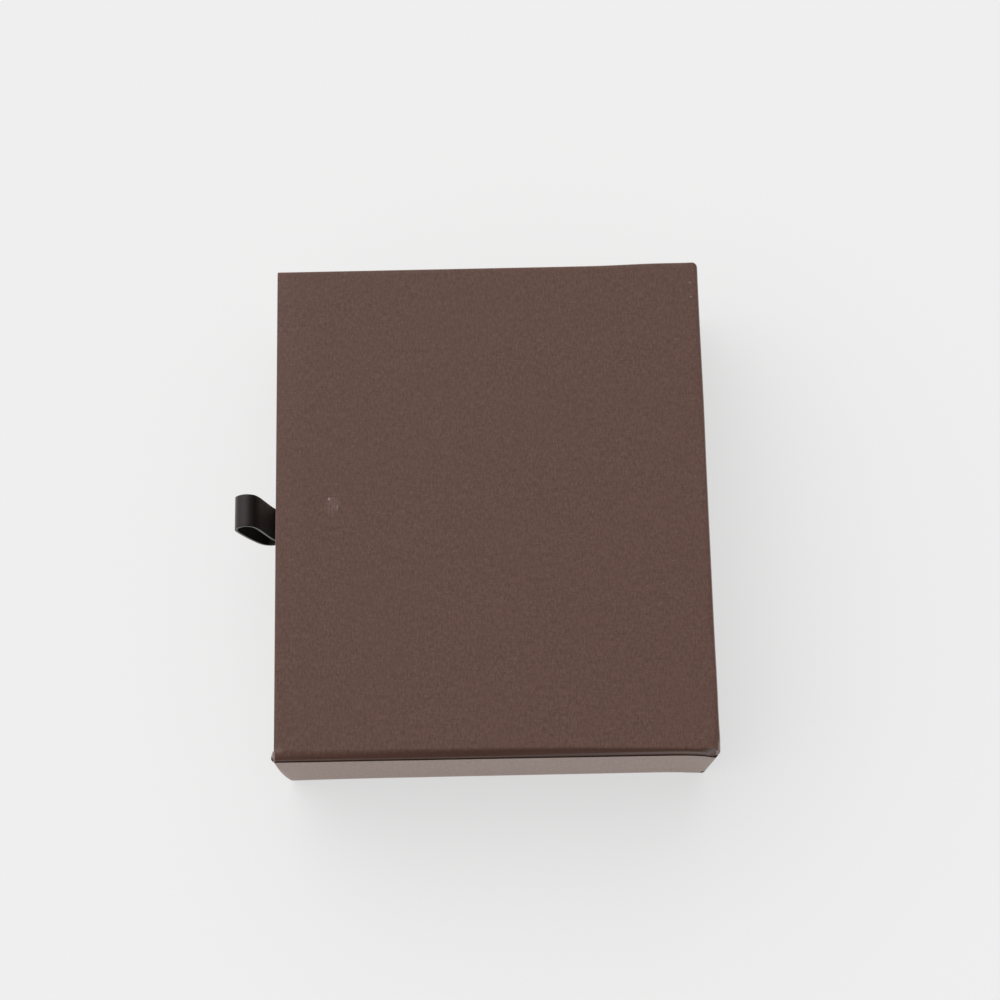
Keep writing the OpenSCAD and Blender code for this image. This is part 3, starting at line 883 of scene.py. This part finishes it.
def makeCornerTape():
    bm = bmesh.new()
    key = bm.verts.layers.int.new("stop")
    low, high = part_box("sleeve_corner_stays")
    for sign in (-1, 1):
        corner = Vector((high.x, low.y if sign < 0 else high.y))
        points = [corner - Vector((tape["reach"], 0)), corner, corner - Vector((0, sign * tape["reach"]))]
        if sign > 0:
            points.reverse()
        stops = walkPlan(points, [0, tape["cornerR"], 0], tape["spacing"])
        edges = startRow(bm, key, stops, lambda i: Vector((*stops[i]["place"], low.z)))
        for row in range(1, tape["rows"] + 1):
            z = lerp(low.z, tape["top"], row / tape["rows"])
            edges = nextRow(bm, key, edges, lambda i: Vector((*stops[i]["place"], z)))
    bmesh.ops.recalc_face_normals(bm, faces=bm.faces)
    for face in bm.faces:
        if face.normal.dot(face.calc_center_median() * Vector((1, 1, 0))) < 0:
            face.normal_flip()
    piece = finishPiece("corner_tape", bm, [tapeMaterial], "sleeve", 40)
    thicken(piece, tape["paper"])
    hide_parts("sleeve_corner_stays")


makeCornerTape()
print("corner tape made")


# The sheet's spare paper at the near corner of the mouth, folded into a small ear that stands out over it
ear = {
    "from": 0.02, "to": 1.0,  # share of the roll that it covers
    "stations": 26,
    "out": 0.74 * mm,
    "off": 0.05 * mm,  # how far it lies off the roll
    "paper": 0.05 * mm,
    # its section: share of the reach out, drop in millimetres where it's closed and where its slit opens
    "section": [
        (-0.7, 0.0, 0.0), (-0.3, -0.02, -0.02), (0.0, -0.02, -0.02), (0.10, 0.12, 0.12), (0.16, 0.2, 3.4),
        (0.86, 1.5, 3.4), (0.92, 1.7, 1.9), (1.0, 2.0, 2.1), (1.0, 2.6, 2.8), (0.2, 3.6, 3.8),
    ],
    "slitParts": (4, 5),  # the places in its section where the slit's wall and floor end; these faces take the near-black cut-edge material as painted shade
    "slitFrom": 0.46,
}


def makeEar():
    bm = bmesh.new()
    key = bm.verts.layers.int.new("stop")
    nearest = min((stop for stop in coverStops if stop["outward"].y < -0.7), key=lambda stop: stop["place"].x)
    steps = cover["rollSteps"]

    def station(t):
        row = lerp(ear["from"], ear["to"], t) * steps
        low = min(steps - 1, int(row))
        return rollPlace(nearest, steps - low).lerp(rollPlace(nearest, steps - low - 1), row - low)

    def place(i, out, shut, wide):
        t = i / (ear["stations"] - 1)
        bulge = min(ease(t / 0.42), max(0.02, (1 - t) / 0.52))
        opening = ease((t - 0.36) * 7) * ease((1.0 - t) * 9)
        spot = station(t)
        drop = lerp(shut, wide, opening) * mm
        x = mouthX + 0.05 * mm - out * ear["out"] * (bulge if out > 0 else 1)
        return Vector((x, spot.y - ear["off"], spot.z - drop * (bulge if drop > 0 else 1)))

    edges = startRow(bm, key, range(ear["stations"]), lambda i: place(i, *ear["section"][0]))
    for number, part in enumerate(ear["section"][1:], 1):
        known = set(bm.faces)
        edges = nextRow(bm, key, edges, lambda i: place(i, *part))
        # painted shade: the slit's wall and floor take the near-black cut-edge material
        if number in ear["slitParts"]:
            for face in set(bm.faces) - known:
                if min(v[key] for v in face.verts) > ear["slitFrom"] * ear["stations"]:
                    face.material_index = 1
    bmesh.ops.recalc_face_normals(bm, faces=bm.faces)
    turnOut(bm, min(bm.faces, key=lambda f: abs(f.calc_center_median().x - mouthX)), up)
    piece = finishPiece("corner_ear", bm, [earHighlightPaperMaterial, cutEdgeShadeMaterial], "sleeve", 50)
    thicken(piece, ear["paper"], 50)


makeEar()
print("corner ear made")


# Drawer paper: a band round the tray's walls, over their rims and turned in inside and under the base
drawerPaper = {
    "cornerR": 0.8 * mm,
    "rimR": 0.55 * mm,
    "footR": 0.5 * mm,
    "wall": 2.6 * mm,  # from the outer face to the turned-in paper's inner face
    "rimTurnIn": 14 * mm,
    "under": 12 * mm,
    "paper": 0.2 * mm,
    "rows": 10,
    "spacing": 4 * mm,
    "slit": (9.5 * mm, 1.8 * mm),  # the strap's slit: width and height
    "flat": (0.05 * mm, 35),
}


def makeDrawerPaper():
    bm = bmesh.new()
    key = bm.verts.layers.int.new("stop")
    low, high = drawerLow, drawerHigh
    points = [Vector(p) for p in ((low.x, low.y), (high.x, low.y), (high.x, high.y), (low.x, high.y))]
    stops = walkPlan(points, [drawerPaper["cornerR"]] * 4, drawerPaper["spacing"], 5, closed=True)
    slitWide, slitHigh = drawerPaper["slit"]
    for edge in (-slitWide / 2, slitWide / 2):
        stop = min((s for s in stops if s["run"] == 3), key=lambda s: abs(s["place"].y - edge))
        stop["before"] += stop["place"].y - edge
        stop["after"] -= stop["place"].y - edge
        stop["place"] = Vector((stop["place"].x, edge))

    def at(i, inset, z):
        spot = insetStop(stops[i], inset)
        if inset == 0 and stops[i]["centre"] is None:
            size, fine = drawerPaper["flat"]
            wander = size * noise.noise(Vector((spot.x * fine, spot.y * fine, z * fine + 7)))
            spot = spot - stops[i]["outward"] * abs(wander)
        return Vector((*spot, z))

    footR, rimR, wall, rows = (drawerPaper[part] for part in ("footR", "rimR", "wall", "rows"))
    turns = [math.radians(angle) for angle in (0, 30, 60, 90)]
    sideLowZ, sideHighZ = low.z + footR, high.z - rimR
    levels = [lerp(sideLowZ, sideHighZ, k / rows) for k in range(1, rows)]
    levels = [z for z in levels if abs(z - slitZ) > slitHigh]
    levels += [slitZ - slitHigh / 2, slitZ + slitHigh / 2]
    section = [(drawerPaper["under"], low.z), (2 * mm, low.z)]
    section += [(footR * (1 - math.sin(a)), low.z + footR * (1 - math.cos(a))) for a in turns]
    section += [(0, z) for z in sorted(levels)] + [(0, sideHighZ)]
    section += [(rimR * (1 - math.cos(a)), sideHighZ + rimR * math.sin(a)) for a in turns[1:]]
    section += [(wall - rimR * (1 - math.sin(a)), sideHighZ + rimR * math.cos(a)) for a in turns]
    section += [(wall, high.z - 6 * mm), (wall, high.z - drawerPaper["rimTurnIn"])]
    edges = startRow(bm, key, stops, lambda i: at(i, *section[0]), closed=True)
    for part in section[1:]:
        edges = nextRow(bm, key, edges, lambda i: at(i, *part))

    def inSlit(face):
        x, y, z = face.calc_center_median()
        return x < low.x + 0.2 * mm and abs(y) < slitWide / 2 and abs(z - slitZ) < slitHigh / 2

    bmesh.ops.delete(bm, geom=[f for f in bm.faces if inSlit(f)], context="FACES")
    mergeSheet(bm)
    turnOut(bm, nearestFace(bm, Vector((0, low.y, 0.03))), towardsNear)
    piece = finishPiece("drawer_paper", bm, [drawerPaperMaterial], "drawer", 35)
    thicken(piece, drawerPaper["paper"])
    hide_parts("drawer_wrap")


makeDrawerPaper()
print("drawer paper made")


# Pull strap: one band from its lower tail out through the slit, round the loop and back to the upper tail
strap = {
    "width": 9.45 * mm,
    "thickness": 0.75 * mm,
    "edgeRound": 0.16 * mm,
    # the loop's middle line from the side, in millimetres: out from the drawer's front and up from the slit
    "loop": [
        (0.0, -0.40), (1.4, -0.85), (3.3, -2.45), (5.4, -2.60), (7.2, -0.90), (8.8, 3.0), (10.3, 7.6),
        (11.6, 12.4), (12.35, 16.2), (12.05, 19.0), (10.6, 21.0), (8.8, 21.75), (7.2, 21.0), (6.1, 18.6),
        (5.15, 14.3), (4.2, 9.4), (3.15, 4.9), (1.95, 2.0), (0.8, 0.75), (0.0, 0.40),
    ],
    "samples": 6,
    "across": 8,
}


def catmull(points, samples):
    path = []
    for i in range(len(points) - 1):
        p0 = points[max(i - 1, 0)]
        p1, p2 = points[i], points[i + 1]
        p3 = points[min(i + 2, len(points) - 1)]
        for k in range(samples):
            t = k / samples
            path.append(0.5 * ((2 * p1) + (p2 - p0) * t + (2 * p0 - 5 * p1 + 4 * p2 - p3) * t * t
                               + (3 * p1 - p0 - 3 * p2 + p3) * t ** 3))
    path.append(points[-1])
    return path


def makeStrap():
    half = strap["thickness"] / 2
    tailX = tailsHigh.x - half - 0.02 * mm
    slitLowZ = slitZ - half - 0.03 * mm
    loop = [Vector((slitX - out * mm, slitZ + rise * mm)) for out, rise in strap["loop"]]
    lowTail = [Vector(p) for p in (
        (tailX, tailsLow.z), (tailX, slitZ - 5 * mm), (tailX, slitZ - 1.9 * mm),
        (tailX - 0.25 * mm, slitZ - 1.1 * mm), (tailX - 0.8 * mm, slitLowZ), (slitX + 0.3 * mm, slitLowZ))]
    highTail = [Vector((p.x, 2 * slitZ - p.y)) for p in reversed(lowTail)]
    highTail[-1] = Vector((tailX, tailsHigh.z))
    path = catmull(lowTail + loop + highTail, strap["samples"])
    bm = bmesh.new()
    verts = [bm.verts.new((p.x, -strap["width"] / 2, p.y)) for p in path]
    edges = [bm.edges.new(pair) for pair in zip(verts, verts[1:])]
    for step in range(strap["across"]):
        verts, edges = extrudeEdges(bm, edges)
        bmesh.ops.translate(bm, verts=verts, vec=(0, strap["width"] / strap["across"], 0))
    bmesh.ops.recalc_face_normals(bm, faces=bm.faces)
    mesh = meshFrom("pull_strap", bm, [strapMaterial])
    mesh.shade_smooth()
    piece = addObject("pull_strap", mesh)
    solid = piece.modifiers.new("strap thickness", "SOLIDIFY")
    solid.thickness = strap["thickness"]
    solid.offset = 0
    worn = piece.modifiers.new("worn edges", "BEVEL")
    worn.width = strap["edgeRound"]
    worn.segments = 2
    worn.limit_method = "ANGLE"
    worn.angle_limit = math.radians(50)
    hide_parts("pull_loop", "strap_tails")
    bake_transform(piece)


makeStrap()
print("strap made")


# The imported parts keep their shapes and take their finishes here; the rest of them are lining or board
packedFinish = {
    "cover_wrap": plainPaperMaterial,
    "sleeve_side_wrap": plainPaperMaterial,
    "sleeve_base_sheet": plainPaperMaterial,
    "drawer_wrap": drawerPaperMaterial,
    "drawer_base_sheet": drawerPaperMaterial,
    "sleeve_corner_stays": tapeMaterial,
    "drawer_corner_stays": tapeMaterial,
    "strap_patch": tapeMaterial,
    "strap_tails": strapMaterial,
    "pull_loop": strapMaterial,
}
for name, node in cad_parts.items():
    chosen = packedFinish.get(name, liningMaterial if "lining" in name else boardMaterial)
    if not node.material_slots:
        node.data.materials.append(chosen)
    for slot in node.material_slots:
        slot.material = chosen
print("packed parts finished")


stage = {
    "floorTone": 0.86,
    "floorReach": 3.0,
    "paleShare": 0.66,  # how far the table glows by itself, which softens its shadow
    "glow": 0.88,
    "backdrop": 0.9,
    "dome": 1.30,  # even light from above
    "horizon": -2.55,  # less of it low down
    "left": (1.75, 0.04),  # brighter towards the mouth's side: high up, and how much more low down
    "far": (1.90, -0.66),  # brighter behind the box, in the same way
    "darkest": 0.33,  # the least light from any side
}


def makeFloor():
    bm = bmesh.new()
    bmesh.ops.create_grid(bm, x_segments=1, y_segments=1, size=stage["floorReach"])
    bmesh.ops.translate(bm, verts=bm.verts, vec=(0, 0, -0.02 * mm))
    material = bpy.data.materials.new("white table")
    tree, output = emptyTree(material, "ShaderNodeOutputMaterial")
    matt = tree.nodes.new("ShaderNodeBsdfDiffuse")
    matt.inputs["Color"].default_value = (stage["floorTone"],) * 3 + (1,)
    glow = tree.nodes.new("ShaderNodeEmission")
    glow.inputs["Strength"].default_value = stage["glow"]
    mix = tree.nodes.new("ShaderNodeMixShader")
    mix.inputs["Fac"].default_value = stage["paleShare"]
    tree.links.new(matt.outputs["BSDF"], mix.inputs[1])
    tree.links.new(glow.outputs["Emission"], mix.inputs[2])
    tree.links.new(mix.outputs["Shader"], output.inputs["Surface"])
    floor = addObject("floor", meshFrom("floor", bm, [material]))


# A soft dome of light, dimmer low down, brighter towards the mouth's side and behind the box
def lightScene():
    world = bpy.data.worlds.new("light tent")
    bpy.context.scene.world = world
    tree, output = emptyTree(world, "ShaderNodeOutputWorld")
    light = tree.nodes.new("ShaderNodeBackground")
    backdrop = tree.nodes.new("ShaderNodeBackground")
    backdrop.inputs["Color"].default_value = (stage["backdrop"],) * 3 + (1,)
    place = tree.nodes.new("ShaderNodeTexCoord")
    split = tree.nodes.new("ShaderNodeSeparateXYZ")
    tree.links.new(place.outputs["Generated"], split.inputs["Vector"])
    low = mathNode(tree, "SUBTRACT", 1.0, mathNode(tree, "MAXIMUM", split.outputs["Z"], 0.0))
    low = times(tree, low, low)

    def fromSide(shares, way):
        return times(tree, plus(tree, times(tree, low, shares[1]), shares[0]), way)

    total = plus(tree, times(tree, low, stage["horizon"]), stage["dome"])
    total = plus(tree, total, fromSide(stage["left"], times(tree, split.outputs["X"], -1.0)))
    total = plus(tree, total, fromSide(stage["far"], split.outputs["Y"]))
    tree.links.new(mathNode(tree, "MAXIMUM", total, stage["darkest"]), light.inputs["Strength"])
    path = tree.nodes.new("ShaderNodeLightPath")
    mix = tree.nodes.new("ShaderNodeMixShader")
    tree.links.new(path.outputs["Is Camera Ray"], mix.inputs["Fac"])
    tree.links.new(light.outputs["Background"], mix.inputs[1])
    tree.links.new(backdrop.outputs["Background"], mix.inputs[2])
    tree.links.new(mix.outputs["Shader"], output.inputs["Surface"])


shot = {
    "lens": 69.755,
    "sensor": 36,
    "turn": (14.43183, 0.05247, -1.16721),  # degrees about X, Y and Z
    "place": (3.014, -137.193, 583.671),  # millimetres
}


def placeCamera():
    data = bpy.data.cameras.new("camera")
    data.sensor_width = shot["sensor"]
    data.lens = shot["lens"]
    camera = addObject("camera", data)
    turn = Matrix.Identity(3)
    for angle, axis in zip(shot["turn"], "XYZ"):
        turn = turn @ Matrix.Rotation(math.radians(angle), 3, axis)
    camera.matrix_world = Matrix.Translation([c * mm for c in shot["place"]]) @ turn.to_4x4()
    bpy.context.scene.camera = camera


makeFloor()
lightScene()
placeCamera()
bpy.context.scene.view_settings.view_transform = "Standard"
print("floor, light and camera set")
